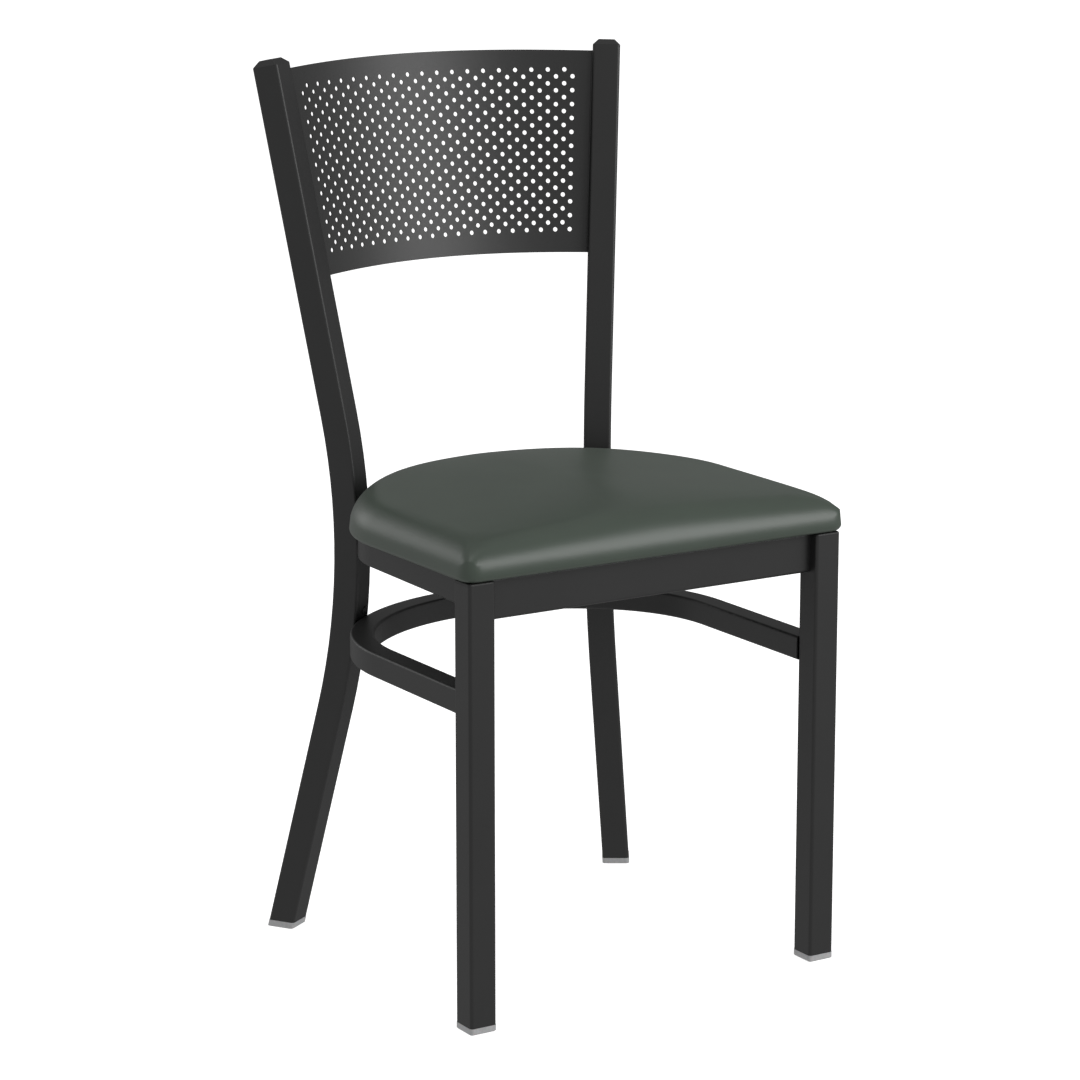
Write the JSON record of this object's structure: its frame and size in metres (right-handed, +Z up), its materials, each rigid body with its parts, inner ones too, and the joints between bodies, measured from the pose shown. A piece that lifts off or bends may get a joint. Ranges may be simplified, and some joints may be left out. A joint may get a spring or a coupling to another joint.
{
  "type": "dining chair",
  "caption": "Welded square-tube metal chair with a curved perforated back panel, a bent stretcher ring and a screwed-on padded vinyl seat.",
  "frame": {"origin": "on the floor under the middle of the chair's overall box", "axes": "+Z up, +Y towards the back of the chair, +X to the right when the chair is seen from the front, mirror plane at X = 0"},
  "size_m": [0.4218, 0.4298, 0.8437],
  "materials": {
    "powder_coat": "satin black powder coat on welded steel tube and sheet",
    "black_plastic": "moulded black plastic, fine texture",
    "grey_plastic": "moulded grey plastic, matte",
    "vinyl": "dark green coated vinyl, soft satin, stretched over foam",
    "foam": "open-cell upholstery foam",
    "plywood": "raw plywood",
    "dust_fabric": "black non-woven sheet",
    "zinc_steel": "bright zinc plated steel"
  },
  "bodies": {
    "root": {"back_panel": "powder_coat", "dust_cover": "dust_fabric", "foot_glide_front_left": "grey_plastic", "foot_glide_front_right": "grey_plastic", "foot_glide_rear_left": "grey_plastic", "foot_glide_rear_right": "grey_plastic", "front_apron": "powder_coat", "front_leg_left": "powder_coat", "front_leg_plug_left": "black_plastic", "front_leg_plug_right": "black_plastic", "front_leg_right": "powder_coat", "post_cap_left": "black_plastic", "post_cap_right": "black_plastic", "rear_post_left": "powder_coat", "rear_post_right": "powder_coat", "seat_board": "plywood", "seat_bracket_front_left": "powder_coat", "seat_bracket_front_right": "powder_coat", "seat_bracket_rear_left": "powder_coat", "seat_bracket_rear_right": "powder_coat", "seat_cover": "vinyl", "seat_foam": "foam", "seat_frame_band": "powder_coat", "seat_screws": "zinc_steel", "seat_staples": "zinc_steel", "stretcher_ring": "powder_coat", "vent_plug_left": "black_plastic", "vent_plug_right": "black_plastic"}
  },
  "joints": []
}
